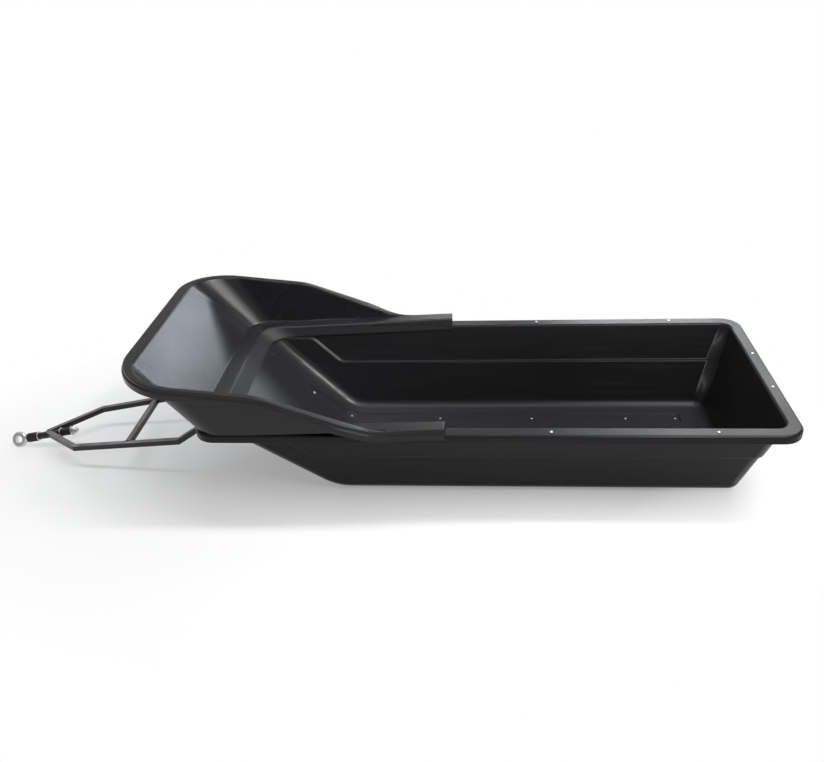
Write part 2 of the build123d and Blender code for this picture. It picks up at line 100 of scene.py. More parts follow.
class End(Enum):
    """Ends of a piece on the rod, as seen from the tow eye."""

    FRONT = "front"
    REAR = "rear"


class Pattern:
    """Small helper that adds and joins the nodes of one material."""

    def __init__(self, name: str) -> None:
        """Starts an empty material with a principled shader.

        Args:
            name: name of the material.
        """
        self.material = bpy.data.materials.new(name)
        self.material.use_nodes = True
        self.tree = self.material.node_tree
        self.shader = self.tree.nodes["Principled BSDF"]
        self.place = self.tree.nodes.new("ShaderNodeTexCoord").outputs["Object"]

    def node(self, kind: str, **inputs: object) -> bpy.types.Node:
        """Adds a node and sets its inputs, by value or by link.

        Args:
            kind: Blender's name of the node type, without the ShaderNode prefix.
            inputs: socket names, with underscores for spaces, and their values or source sockets.

        Returns:
            The new node.
        """
        made = self.tree.nodes.new("ShaderNode" + kind)
        for key, value in inputs.items():
            self.feed(made.inputs[key.replace("_", " ")], value)
        return made

    def feed(self, socket: bpy.types.NodeSocket, value: object) -> None:
        """Sets a socket to a value, or links it to another socket.

        Args:
            socket: the input socket.
            value: a number, a colour or an output socket.
        """
        if isinstance(value, bpy.types.NodeSocket):
            self.tree.links.new(value, socket)
        else:
            socket.default_value = value

    def stretched(self, scale: Point) -> bpy.types.NodeSocket:
        """Object coordinates multiplied by a scale along each axis.

        Args:
            scale: pattern repeats per metre along X, Y and Z.

        Returns:
            The scaled coordinates.
        """
        return self.node("Mapping", Vector=self.place, Scale=scale).outputs["Vector"]

    def turned(self, angles: Point, scale: Point) -> bpy.types.NodeSocket:
        """Object coordinates turned and then multiplied along each turned axis.

        Args:
            angles: turns about X, Y and Z in radians.
            scale: pattern repeats per metre along the turned axes.

        Returns:
            The turned and scaled coordinates.
        """
        turned = self.node("Mapping", Vector=self.place, Rotation=angles)
        return self.node("Mapping", Vector=turned.outputs["Vector"], Scale=scale).outputs["Vector"]

    def noise(
        self, where: bpy.types.NodeSocket, scale: float = 1.0, detail: float = 2.0
    ) -> bpy.types.NodeSocket:
        """Noise value between 0 and 1.

        Args:
            where: coordinates of the pattern.
            scale: repeats per unit of the coordinates.
            detail: octaves of the noise.

        Returns:
            The value of the noise.
        """
        made = self.node("TexNoise", Vector=where, Scale=scale, Detail=detail)
        return made.outputs[0]

    def span(
        self, value: bpy.types.NodeSocket, low: float, high: float, start: float, end: float
    ) -> bpy.types.NodeSocket:
        """Maps a value from one span to another, held at the ends.

        Args:
            value: the value to map.
            low: value that gives start.
            high: value that gives end.
            start: result at low.
            end: result at high.

        Returns:
            The mapped value.
        """
        made = self.node("MapRange", Value=value, From_Min=low, From_Max=high, To_Min=start, To_Max=end)
        return made.outputs["Result"]

    def blend(
        self, share: bpy.types.NodeSocket, first: object, second: object
    ) -> bpy.types.NodeSocket:
        """Mixes two colours.

        Args:
            share: share of the second colour.
            first: colour or socket at share 0.
            second: colour or socket at share 1.

        Returns:
            The mixed colour.
        """
        made = self.tree.nodes.new("ShaderNodeMix")
        made.data_type = "RGBA"
        self.feed(made.inputs[MIX_SHARE], share)
        self.feed(made.inputs[MIX_FIRST], first)
        self.feed(made.inputs[MIX_SECOND], second)
        return made.outputs[MIX_RESULT]

    def sum(
        self, first: bpy.types.NodeSocket, second: bpy.types.NodeSocket, weight: float
    ) -> bpy.types.NodeSocket:
        """Adds a weighted value to another.

        Args:
            first: the value that counts in full.
            second: the value that is weighted.
            weight: weight of the second value.

        Returns:
            first + second * weight.
        """
        made = self.tree.nodes.new("ShaderNodeMath")
        made.operation = "MULTIPLY_ADD"
        self.feed(made.inputs[0], second)
        self.feed(made.inputs[1], weight)
        self.feed(made.inputs[2], first)
        return made.outputs[0]

    def relief(self, height: bpy.types.NodeSocket, depth: float) -> None:
        """Raises the surface by a height pattern.

        Args:
            height: pattern between 0 and 1.
            depth: height of the relief in metres.
        """
        bump = self.node("Bump", Height=height, Distance=depth, Strength=1.0)
        self.feed(self.shader.inputs["Normal"], bump.outputs["Normal"])


@dataclass(frozen=True)
class MouldedPlastic:
    """Black polyethylene sheet with a fine grain, faint streaks, fine scratches, and painted light: a
    paler colour below a set height.
    """

    name: str
    colour: Colour = (0.0086, 0.0086, 0.0096, 1.0)
    scuffed_and_lit: Colour = (0.024, 0.024, 0.026, 1.0)
    smooth: float = 0.28
    dull: float = 0.36
    specular: float = 0.16
    grain_depth: float = 0.00010
    grain_scale: float = 900.0
    cloud_scale: float = 4.0
    streak_scale: Point = (3.0, 60.0, 60.0)
    streak_detail: float = 6.0
    streak_cut: Pair = (0.5, 0.8)
    streak_share: float = 0.35
    scratch_turn: Point = (0.5, 0.3, 0.7)
    scratch_scale: Point = (9.0, 420.0, 420.0)
    scratch_cut: Pair = (0.69, 0.73)
    scratch_share: float = 0.6
    rough_share: float = 0.5
    rough_cut: Pair = (0.3, 0.9)
    # band below a set height: extra roughness there, and a paler colour painted in as painted light
    low_band_top: float = 0.0
    matt_extra: float = 0.0
    painted_light_share: float = 0.0
    low_band_blend: float = 0.004

    def make(self) -> bpy.types.Material:
        """Builds the nodes of the finish.

        Returns:
            The material.
        """
        look = Pattern(self.name)
        clouds = look.noise(look.place, self.cloud_scale)
        streaks = look.noise(look.stretched(self.streak_scale), detail=self.streak_detail)
        streaks = look.span(streaks, *self.streak_cut, 0.0, 1.0)
        strokes = look.noise(look.turned(self.scratch_turn, self.scratch_scale))
        scratches = look.span(strokes, *self.scratch_cut, 0.0, self.scratch_share)
        height = look.node("SeparateXYZ", Vector=look.place).outputs["Z"]
        # mask of that band: it roughens the fender's lower part, and on the tub it paints the floor
        # paler, as painted light that the floor catches
        matt = look.span(height, self.low_band_top - self.low_band_blend, self.low_band_top, 1.0, 0.0)
        # scratches and streaks are wear; the band's share is painted light, a paler floor
        wear_and_painted_light = look.sum(look.sum(scratches, streaks, self.streak_share), matt, self.painted_light_share)
        look.feed(look.shader.inputs["Base Color"], look.blend(wear_and_painted_light, self.colour, self.scuffed_and_lit))
        rough = look.sum(clouds, scratches, self.rough_share)
        rough = look.span(rough, *self.rough_cut, self.smooth, self.dull)
        look.feed(look.shader.inputs["Roughness"], look.sum(rough, matt, self.matt_extra))
        look.shader.inputs["Specular IOR Level"].default_value = self.specular
        look.relief(look.noise(look.place, self.grain_scale), self.grain_depth)
        return look.material


@dataclass(frozen=True)
class PowderCoat:
    """Black powder coat on steel, with a fine orange peel and rubbed spots."""

    name: str
    colour: Colour = (0.011, 0.0115, 0.016, 1.0)
    rubbed: Colour = (0.028, 0.029, 0.036, 1.0)
    smooth: float = 0.28
    dull: float = 0.45
    specular: float = 0.40
    peel_depth: float = 0.00015
    peel_scale: float = 700.0
    cloud_scale: float = 22.0
    cloud_detail: float = 5.0
    rubbed_cut: Pair = (0.52, 0.72)
    rubbed_share: float = 0.8
    rough_cut: Pair = (0.3, 0.7)

    def make(self) -> bpy.types.Material:
        """Builds the nodes of the finish.

        Returns:
            The material.
        """
        look = Pattern(self.name)
        clouds = look.noise(look.place, self.cloud_scale, self.cloud_detail)
        rubbed = look.span(clouds, *self.rubbed_cut, 0.0, self.rubbed_share)
        rough = look.span(clouds, *self.rough_cut, self.smooth, self.dull)
        look.feed(look.shader.inputs["Base Color"], look.blend(rubbed, self.colour, self.rubbed))
        look.feed(look.shader.inputs["Roughness"], rough)
        look.shader.inputs["Specular IOR Level"].default_value = self.specular
        look.relief(look.noise(look.place, self.peel_scale), self.peel_depth)
        return look.material


@dataclass(frozen=True)
class PlatedSteel:
    """Zinc-plated or galvanised steel with a mottled, brushed surface."""

    name: str
    bright: Colour = (0.62, 0.62, 0.60, 1.0)
    dim: Colour = (0.36, 0.36, 0.35, 1.0)
    smooth: float = 0.22
    dull: float = 0.42
    mottle: float = 90.0
    mottle_detail: float = 4.0
    brush: Point = (40.0, 900.0, 900.0)
    brush_detail: float = 3.0
    brush_share: float = 0.4
    tone_cut: Pair = (0.45, 0.95)
    relief_depth: float = 0.00008
    relief_share: float = 0.5

    def make(self) -> bpy.types.Material:
        """Builds the nodes of the finish.

        Returns:
            The material.
        """
        look = Pattern(self.name)
        spangle = look.noise(look.place, self.mottle, self.mottle_detail)
        brushed = look.noise(look.stretched(self.brush), detail=self.brush_detail)
        tone = look.span(look.sum(spangle, brushed, self.brush_share), *self.tone_cut, 0.0, 1.0)
        rough = look.span(tone, 0.0, 1.0, self.smooth, self.dull)
        look.feed(look.shader.inputs["Base Color"], look.blend(tone, self.bright, self.dim))
        look.feed(look.shader.inputs["Roughness"], rough)
        look.shader.inputs["Metallic"].default_value = 1.0
        look.relief(look.sum(brushed, spangle, self.relief_share), self.relief_depth)
        return look.material


@dataclass(frozen=True)
class Rubber:
    """Black damper rubber, matt with a dusty bloom."""

    name: str
    colour: Colour = (0.014, 0.014, 0.015, 1.0)
    dusty: Colour = (0.040, 0.039, 0.038, 1.0)
    smooth: float = 0.55
    dull: float = 0.75
    specular: float = 0.3
    bloom_scale: float = 60.0
    bloom_detail: float = 5.0
    bloom_cut: Pair = (0.45, 0.75)
    rough_cut: Pair = (0.3, 0.7)
    grain_depth: float = 0.0001
    grain_scale: float = 1200.0

    def make(self) -> bpy.types.Material:
        """Builds the nodes of the finish.

        Returns:
            The material.
        """
        look = Pattern(self.name)
        bloom = look.noise(look.place, self.bloom_scale, self.bloom_detail)
        share = look.span(bloom, *self.bloom_cut, 0.0, 1.0)
        rough = look.span(bloom, *self.rough_cut, self.smooth, self.dull)
        look.feed(look.shader.inputs["Base Color"], look.blend(share, self.colour, self.dusty))
        look.feed(look.shader.inputs["Roughness"], rough)
        look.shader.inputs["Specular IOR Level"].default_value = self.specular
        look.relief(look.noise(look.place, self.grain_scale), self.grain_depth)
        return look.material


FINISHES = {
    # the tub's floor, below 4 cm, is painted paler: painted light that stands for the light the floor
    # catches
    Slot.TUB: MouldedPlastic(
        "tub_polyethylene", low_band_top=0.040, painted_light_share=0.8, low_band_blend=0.025
    ),
    Slot.FENDER: MouldedPlastic(
        "fender_polyethylene",
        colour=(0.0108, 0.0109, 0.0120, 1.0),
        smooth=0.24,
        dull=0.30,
        specular=0.28,
        low_band_top=0.338,
        matt_extra=0.34,
    ),
    Slot.PAINT: PowderCoat("drawbar_powder_coat"),
    Slot.RUNNER: PlatedSteel("runner_galvanised", mottle=45.0, brush=(6.0, 700.0, 700.0)),
    Slot.ZINC: PlatedSteel(
        "bright_zinc", bright=(0.78, 0.78, 0.76, 1.0), dim=(0.50, 0.50, 0.49, 1.0)
    ),
    Slot.RUBBER: Rubber("damper_rubber"),
}


def new_object(name: str, shape: bmesh.types.BMesh) -> bpy.types.Object:
    """Makes an object at the origin from a bmesh, and frees the bmesh.

    Args:
        name: name of the object and its mesh.
        shape: the finished bmesh.

    Returns:
        The new object.
    """
    mesh = bpy.data.meshes.new(name)
    for face in shape.faces:
        face.smooth = True
    shape.to_mesh(mesh)
    shape.free()
    made = bpy.data.objects.new(name, mesh)
    bpy.context.scene.collection.objects.link(made)
    return made


def facing(place: Vector, way: Vector) -> Matrix:
    """Returns the placement at a point whose Z axis runs in a direction."""
    return Matrix.Translation(place) @ way.to_track_quat("Z", "Y").to_matrix().to_4x4()


class Workshop:
    """Holds the loaded frame and the finished materials, and fits pieces to bodies."""

    def __init__(self, frame: dict) -> None:
        """Keeps the frame and makes each finish once.
        """
        self.frame = frame
        self.materials = {slot: finish.make() for slot, finish in FINISHES.items()}

    def copy(self, *nodes: str) -> bmesh.types.BMesh:
        """Copies solids of the frame into one bmesh.

        Args:
            nodes: names of the solids.

        Returns:
            The loose triangles of the solids.
        """
        shape = bmesh.new()
        for node in nodes:
            shape.from_mesh(self.frame["nodes"][node].data)
        return shape

    def surface(self, *nodes: str) -> BVHTree:
        """Makes a search tree of the faces of solids.

        Args:
            nodes: names of the solids.

        Returns:
            The tree, for finding where a straight line meets the solids.
        """
        shape = self.copy(*nodes)
        tree = BVHTree.FromBMesh(shape)
        shape.free()
        return tree

    def fit(self, piece: bpy.types.Object, slot: Slot, body: Body, *nodes: str) -> bpy.types.Object:
        """Gives a new piece its finish and its body, in place of solids of the frame.

        Args:
            piece: the new piece.
            slot: slot whose finish it takes.
            body: body that it moves with.
            nodes: solids that it stands for.

        Returns:
            The piece.
        """
        piece.data.materials.clear()
        piece.data.materials.append(self.materials[slot])
        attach(piece, body.value)
        if nodes:
            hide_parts(*nodes)
        LOG.info("%s rides on the %s", piece.name, body.value)
        return piece


@dataclass
class RoundedPiece:
    """A rigid piece: its solid's form, merged, with every sharp edge rounded as its maker does."""

    node: str
    slot: Slot
    body: Body = Body.SLED
    plain: float = 0.001
    largest: float = 0.008
    steps: int = 3
    sharp: float = radians(25.0)
    merge: float = 2e-5
    flat: float = radians(0.5)
    clamped: bool = True
    ending: str = "finished"
    round_profile: float = 0.5

    def radius(self, edge: bmesh.types.BMEdge) -> float:
        """Rounding of a sharp edge; some pieces say where it is larger.

        Args:
            edge: a sharp edge of the merged form; not used here.

        Returns:
            The radius in metres.
        """
        return self.plain

    def build(self, shop: Workshop) -> bpy.types.Object:
        """Makes the piece that stands for the solid.

        Args:
            shop: the workshop with the frame and the finishes.

        Returns:
            The new piece.
        """
        shape = shop.copy(self.node)
        bmesh.ops.remove_doubles(shape, verts=shape.verts, dist=self.merge)
        bmesh.ops.dissolve_limit(
            shape, angle_limit=self.flat, verts=shape.verts, edges=shape.edges
        )
        weight = shape.edges.layers.float.new("bevel_weight_edge")
        for edge in shape.edges:
            if edge.calc_face_angle(0.0) > self.sharp:
                edge[weight] = self.radius(edge) / self.largest
        made = new_object(f"{self.node}_{self.ending}", shape)
        rounding = made.modifiers.new("rounding", "BEVEL")
        rounding.limit_method = "WEIGHT"
        rounding.width = self.largest
        rounding.segments = self.steps
        rounding.profile = self.round_profile
        rounding.use_clamp_overlap = self.clamped
        rounding.miter_outer = "MITER_ARC"
        made.modifiers.new("even_shading", "WEIGHTED_NORMAL")
        return shop.fit(made, self.slot, self.body, self.node)


@dataclass
class Tub(RoundedPiece):
    """The tub: ramp, stepped side walls, runner keels and a rim with a turned-down lip."""

    node: str = "tub"
    slot: Slot = Slot.TUB
    plain: float = 0.0015
    clamped: bool = False
    ending: str = "moulding"
    step_radius: float = 0.005
    step_low: float = 0.17
    step_high: float = 0.305
    step_rear: float = -1.31
    step_front: float = 0.37
    groove_radius: float = 0.002
    groove_height: float = 0.17
    groove_reach: float = 0.24
    rim_radius: float = 0.0025
    rim_height: float = 0.328

    def radius(self, edge: bmesh.types.BMEdge) -> float:
        """Rounding of a sharp edge: larger along the step, fine at the lip.

        Args:
            edge: a sharp edge of the merged form.

        Returns:
            The radius in metres.
        """
        middle = (edge.verts[0].co + edge.verts[1].co) / 2
        if self.step_low < middle.z < self.step_high:
            return self.step_radius if self.step_rear < middle.x < self.step_front else 0.0
        if middle.z < self.groove_height:
            return self.groove_radius if abs(middle.y) < self.groove_reach else 0.0
        if middle.z > self.rim_height and edge.is_convex:
            return self.rim_radius
        return self.plain


@dataclass
class Fender(RoundedPiece):
    """The front fender: band on the rim, leaning wall, top flange and stepped edge."""

    node: str = "fender"
    slot: Slot = Slot.FENDER
    plain: float = 0.0015
    clamped: bool = False
    ending: str = "moulding"
    inner_radius: float = 0.008
    outer_radius: float = 0.004
    crease_radius: float = 0.004
    level: float = 0.85
    band_height: float = 0.335
    side_weight: float = 2.0

    def radius(self, edge: bmesh.types.BMEdge) -> float:
        """Rounding of a sharp edge: large from wall to flange, fine at the outer edge.

        Args:
            edge: a sharp edge of the merged form.

        Returns:
            The radius in metres.
        """
        upper, lower = sorted(edge.link_faces, key=lambda face: -face.normal.z)
        middle = (edge.verts[0].co + edge.verts[1].co) / 2
        outwards = Vector((middle.x, middle.y * self.side_weight, 0.0))
        if upper.normal.z < self.level or middle.z < self.band_height:
            return self.plain
        if not edge.is_convex:
            return self.crease_radius
        return self.inner_radius if lower.normal.dot(outwards) < 0 else self.outer_radius


@dataclass
class TowEye(RoundedPiece):
    """The forged eye on its rod, with an eased hole."""

    node: str = "tow_eye"
    slot: Slot = Slot.ZINC
    body: Body = Body.EYE
    plain: float = 0.0012
    largest: float = 0.003
    hole_radius: float = 0.0155
    hole_margin: float = 0.003
    hole_ease: float = 0.003

    def radius(self, edge: bmesh.types.BMEdge) -> float:
        """Rounding of a sharp edge: larger round the hole.

        Args:
            edge: a sharp edge of the merged form.

        Returns:
            The radius in metres.
        """
        middle = (edge.verts[0].co + edge.verts[1].co) / 2
        offset = (middle - Vector(EYE_CENTRE)).length
        return self.hole_ease if offset < self.hole_radius + self.hole_margin else self.plain


@dataclass(frozen=True)
class Head:
    """Sizes of a rivet head, bolt head or nut: the dome is the rounding of its top edge."""

    radius: float
    height: float
    sides: int
    dome: float


@dataclass
class Fastenings:
    """Rivets of the runner strips and the rim, and the bolts of the hinge plate."""

    rivet_head: Head = Head(radius=0.0052, height=0.0026, sides=20, dome=0.00208)
    bolt_head: Head = Head(radius=0.0048, height=0.003, sides=20, dome=0.002)
    nut: Head = Head(radius=0.0068, height=0.0045, sides=6, dome=0.0008)
    dome_steps: int = 3
    dome_profile: float = 0.5
    sink: float = 0.0006
    row: float = 0.195
    floor_rows: tuple[float, ...] = (0.100, -0.2645, -0.6365, -1.0105, -1.2065)
    ramp_foot: Point = (0.0975, 0.0, 0.009)
    ramp_lean: float = radians(50.0)
    ramp_rivet: float = 0.193
    rim_rows: tuple[float, ...] = (-0.6585, -1.1885)
    rim_row: float = 0.415
    rear_rim_x: float = -1.440
    rear_rim_row: float = 0.125
    bolt_row: float = 0.250
    bolt_rises: Pair = (0.4135, 0.4275)
    above: float = 0.6
    beside: float = 0.08

    def stud(self, shape: bmesh.types.BMesh, place: Vector, way: Vector, head: Head) -> None:
        """Adds a head that stands on a surface, with a rounded top.

        Args:
            shape: the bmesh to add to.
            place: point of the surface.
            way: direction that the head stands in.
            head: sizes of the head.
        """
        depth = head.height + self.sink
        seat = facing(place + way * (depth / 2 - self.sink), way)
        made = bmesh.ops.create_cone(
            shape,
            cap_ends=True,
            segments=head.sides,
            radius1=head.radius,
            radius2=head.radius,
            depth=depth,
            matrix=seat,
        )
        top = [vert for vert in made["verts"] if (vert.co - place).dot(way) > head.height / 2]
        edges = [edge for edge in shape.edges if edge.verts[0] in top and edge.verts[1] in top]
        bmesh.ops.bevel(
            shape,
            geom=edges,
            offset=head.dome,
            offset_type="OFFSET",
            affect="EDGES",
            segments=self.dome_steps,
            profile=self.dome_profile,
            material=-1,
            clamp_overlap=True,
        )

    def rivet(self, shape: bmesh.types.BMesh, tree: BVHTree, start: Vector, way: Vector) -> None:
        """Adds a rivet head where a straight line meets the surface.

        Args:
            shape: the bmesh to add to.
            tree: search tree of the surface.
            start: point that the line starts at.
            way: direction of the line.
        """
        place, normal, _, _ = tree.ray_cast(start, way)
        self.stud(shape, place, normal, self.rivet_head)

    def ramp_place(self, rise: float, row: float) -> Vector:
        """Returns the point of the ramp's line at a distance up from its foot."""
        up_ramp = Vector((sin(self.ramp_lean), 0.0, cos(self.ramp_lean)))
        return Vector((self.ramp_foot[0], row, self.ramp_foot[2])) + up_ramp * rise

    def build(self, shop: Workshop) -> None:
        """Makes the rivets, the bolts and their nuts.

        Args:
            shop: the workshop with the frame and the finishes.
        """
        tub = shop.surface("tub")
        plate = shop.surface("hinge_plate")
        strips = shop.surface("wear_strip_left", "wear_strip_right")
        outwards = Vector((cos(self.ramp_lean), 0.0, -sin(self.ramp_lean)))
        heads, tails, rim, bolts = (bmesh.new() for _ in range(4))
        for side in (-1, 1):
            row = side * self.row
            for x in self.floor_rows:
                self.rivet(heads, tub, Vector((x, row, self.above)), -UP)
            place = self.ramp_place(self.ramp_rivet, row)
            self.rivet(heads, tub, place - outwards * self.beside, outwards)
            self.rivet(tails, strips, place + outwards * self.beside, -outwards)
            for x in self.rim_rows:
                self.rivet(rim, tub, Vector((x, side * self.rim_row, self.above)), -UP)
            rear = Vector((self.rear_rim_x, side * self.rear_rim_row, self.above))
            self.rivet(rim, tub, rear, -UP)
            for rise in self.bolt_rises:
                place = self.ramp_place(rise, side * self.bolt_row)
                inside, normal, _, _ = tub.ray_cast(place - outwards * self.beside, outwards)
                self.stud(bolts, inside, normal, self.bolt_head)
                outside, normal, _, _ = plate.ray_cast(place + outwards * self.beside, -outwards)
                self.stud(bolts, outside, normal, self.nut)
        rivets = {"runner_rivets": heads, "strip_rivets": tails, "rim_rivets": rim}
        for name, shape in rivets.items():
            shop.fit(new_object(name, shape), Slot.ZINC, Body.SLED)
        shop.fit(new_object("hinge_bolts", bolts), Slot.PAINT, Body.SLED)


@dataclass
class Drawbar:
    """Splayed arms of square tube, their cross tube and nose sleeve, and the welds between them."""

    tube_edge: float = 0.0025
    sleeve_edge: float = 0.0012
    half: float = 0.010
    bead: float = 0.0021
    ripple: float = 0.16
    bead_sides: int = 8
    bead_steps: int = 9
    bend_share: float = 0.5
    cross_middle: Point = (0.9015, 0.0, 0.1165)
    hinge: Point = (0.4765, 0.183, 0.288)
    rear_kink: Point = (0.691, 0.183, 0.145)
    front_kink: Point = (1.1265, 0.1415, 0.086)
    apex: Point = (1.3055, 0.0, 0.0617)

    def trace(self, tree: BVHTree, start: Vector, way: Vector, across: Vector) -> list[Vector]:
        """Follows the tube's square outline to the surface ahead of it.

        Args:
            tree: search tree of the surface.
            start: point on the tube's centre line.
            way: direction of the tube.
            across: direction of one side of its square.

        Returns:
            The points where the outline meets the surface, in order.
        """
        upright = way.cross(across).normalized()
        corners = [across + upright, upright - across, -across - upright, across - upright]
        points = []
        for first, second in zip(corners, corners[1:] + corners[:1]):
            for step in range(self.bead_steps):
                offset = first.lerp(second, step / self.bead_steps) * self.half
                place = tree.ray_cast(start + offset, way)[0]
                if place is not None:
                    points.append(place)
        return points

    def weld(self, shape: bmesh.types.BMesh, points: list[Vector]) -> None:
        """Adds a rippled weld bead along a closed line.

        Args:
            shape: the bmesh to add to.
            points: points of the line.
        """
        rings = []
        for index, place in enumerate(points):
            tangent = (points[(index + 1) % len(points)] - points[index - 1]).normalized()
            radius = self.bead * (1 + self.ripple * (-1) ** index)
            made = bmesh.ops.create_circle(
                shape,
                cap_ends=False,
                segments=self.bead_sides,
                radius=radius,
                matrix=facing(place, tangent),
            )
            ring = set(made["verts"])
            rings.append([edge for edge in shape.edges if ring.issuperset(edge.verts)])
        for first, second in zip(rings, rings[1:] + rings[:1]):
            bmesh.ops.bridge_loops(shape, edges=first + second)

    def build(self, shop: Workshop) -> None:
        """Makes the tubes, the sleeve and the welds.

        Args:
            shop: the workshop with the frame and the finishes.
        """
        for node in ("drawbar_arm_left", "drawbar_arm_right", "cross_tube"):
            tube = RoundedPiece(node, Slot.PAINT, Body.DRAWBAR, self.tube_edge, self.tube_edge)
            tube.build(shop)
        edge = self.sleeve_edge
        RoundedPiece("nose_sleeve", Slot.PAINT, Body.DRAWBAR, edge, edge).build(shop)
        shape = bmesh.new()
        slope = (Vector(self.front_kink) - Vector(self.rear_kink)).normalized()
        along = Vector((slope.x, 0.0, slope.z)).normalized()
        for side, arm in ((1, "drawbar_arm_left"), (-1, "drawbar_arm_right")):
            mirror = Vector((1.0, side, 1.0))
            places = (self.hinge, self.rear_kink, self.front_kink, self.apex)
            hinge, rear, front, apex = (Vector(place) * mirror for place in places)
            sideways = Vector((0.0, side, 0.0))
            middle = Vector(self.cross_middle)
            self.weld(shape, self.trace(shop.surface(arm), middle, sideways, along))
            nose = (apex - front).normalized()
            level = nose.cross(UP).normalized()
            other = "drawbar_arm_right" if side > 0 else "drawbar_arm_left"
            self.weld(shape, self.trace(shop.surface("nose_sleeve", other), front, nose, level))
            back = (hinge - rear).normalized()
            bend = rear.lerp(hinge, self.bend_share)
            self.weld(shape, self.trace(shop.surface(arm), bend, back, sideways))
        bmesh.ops.recalc_face_normals(shape, faces=shape.faces)
        shop.fit(new_object("drawbar_welds", shape), Slot.PAINT, Body.DRAWBAR)


@dataclass
class Hitch:
    """Tow eye on its threaded rod, with rubber dampers, washers and a nut along the rod."""

    rod: Point = (0.98325, 0.0, -0.18224)
    rod_radius: float = 0.008
    sides: int = 56
    merge: float = 1e-6
    front_damper: Point = (0.039, 0.086, 0.0185)
    rear_damper: Point = (0.1886, 0.2346, 0.0155)
    end_round: float = 0.0025
    groove_from_end: float = 0.0055
    groove_half: float = 0.0018
    groove_depth: float = 0.0016
    shoulder_depth: float = 0.8
    shoulder_half: float = 0.5
    thread_start: float = 0.2516
    thread_end: float = 0.2590
    thread_pitch: float = 0.002
    thread_height: float = 0.0007
    thread_sides: int = 28
    washer_edge: float = 0.0007
    nut_edge: float = 0.0016

    def at(self, radius: float, distance: float) -> Vector:
        """Finds a point above the rod's axis.

        Args:
            radius: height above the axis, square to it.
            distance: distance behind the eye's centre.

        Returns:
            The point.
        """
        rod = Vector(self.rod)
        upright = rod.cross(Vector((0.0, 1.0, 0.0))).normalized()
        return Vector(EYE_CENTRE) - rod * distance + upright * radius

    def turned(self, name: str, profile: list[Pair]) -> bpy.types.Object:
        """Turns a closed profile round the rod.

        Args:
            name: name of the piece.
            profile: radius and distance behind the eye's centre of each corner.

        Returns:
            The turned piece.
        """
        shape = bmesh.new()
        verts = [shape.verts.new(self.at(radius, distance)) for radius, distance in profile]
        edges = [shape.edges.new(pair) for pair in zip(verts, verts[1:] + verts[:1])]
        bmesh.ops.spin(
            shape,
            geom=verts + edges,
            cent=Vector(EYE_CENTRE),
            axis=Vector(self.rod),
            angle=2 * pi,
            steps=self.sides,
            use_merge=True,
        )
        bmesh.ops.remove_doubles(shape, verts=shape.verts, dist=self.merge)
        bmesh.ops.recalc_face_normals(shape, faces=shape.faces)
        made = new_object(name, shape)
        made.modifiers.new("even_shading", "WEIGHTED_NORMAL")
        return made

    def damper(self, name: str, sizes: Point, grooved: End) -> bpy.types.Object:
        """Makes a rubber damper with rounded ends and a groove near one end.

        Args:
            name: name of the piece.
            sizes: distance of its two ends behind the eye's centre, and its radius.
            grooved: the end that the groove is near.

        Returns:
            The damper.
        """
        start, end, outer = sizes
        rounded = self.end_round
        soft = rounded * (1 - sin(pi / 4))
        middle = end - self.groove_from_end
        if grooved is End.FRONT:
            middle = start + self.groove_from_end
        shoulder = outer - self.groove_depth * self.shoulder_depth
        inset = self.groove_half * self.shoulder_half
        groove = [
            (outer, middle - self.groove_half),
            (shoulder, middle - inset),
            (outer - self.groove_depth, middle),
            (shoulder, middle + inset),
            (outer, middle + self.groove_half),
        ]
        front = [
            (self.rod_radius, start),
            (outer - rounded, start),
            (outer - soft, start + soft),
            (outer, start + rounded),
        ]
        rear = [
            (outer, end - rounded),
            (outer - soft, end - soft),
            (outer - rounded, end),
            (self.rod_radius, end),
        ]
        return self.turned(name, front + groove + rear)

    def thread(self) -> bpy.types.Object:
        """Makes the thread that shows behind the nut.

        Returns:
            The thread's ridge.
        """
        shape = bmesh.new()
        crest = self.thread_start + self.thread_pitch / 2
        profile = [
            (self.rod_radius - self.thread_height, self.thread_start),
            (self.rod_radius + self.thread_height, crest),
            (self.rod_radius - self.thread_height, self.thread_start + self.thread_pitch),
        ]
        verts = [shape.verts.new(self.at(radius, distance)) for radius, distance in profile]
        turns = (self.thread_end - self.thread_start - self.thread_pitch) / self.thread_pitch
        steps = int(turns * self.thread_sides)
        bmesh.ops.spin(
            shape,
            geom=[shape.faces.new(verts)],
            cent=Vector(EYE_CENTRE),
            axis=Vector(self.rod),
            angle=2 * pi * turns,
            steps=steps,
            dvec=Vector(self.rod) * (-self.thread_pitch * turns / steps),
            use_duplicate=False,
        )
        bmesh.ops.recalc_face_normals(shape, faces=shape.faces)
        return new_object("rod_thread", shape)

    def build(self, shop: Workshop) -> None:
        """Makes the eye and everything on its rod.

        Args:
            shop: the workshop with the frame and the finishes.
        """
        TowEye().build(shop)
        for node, edge in (("rod_washers", self.washer_edge), ("rod_nut", self.nut_edge)):
            RoundedPiece(node, Slot.ZINC, Body.EYE, edge, edge).build(shop)
        shop.fit(self.thread(), Slot.ZINC, Body.EYE)
        front = self.damper("front_damper_rubber", self.front_damper, End.REAR)
        shop.fit(front, Slot.RUBBER, Body.EYE, "front_damper")
        rear = self.damper("rear_damper_rubber", self.rear_damper, End.FRONT)
        shop.fit(rear, Slot.RUBBER, Body.EYE, "rear_damper")


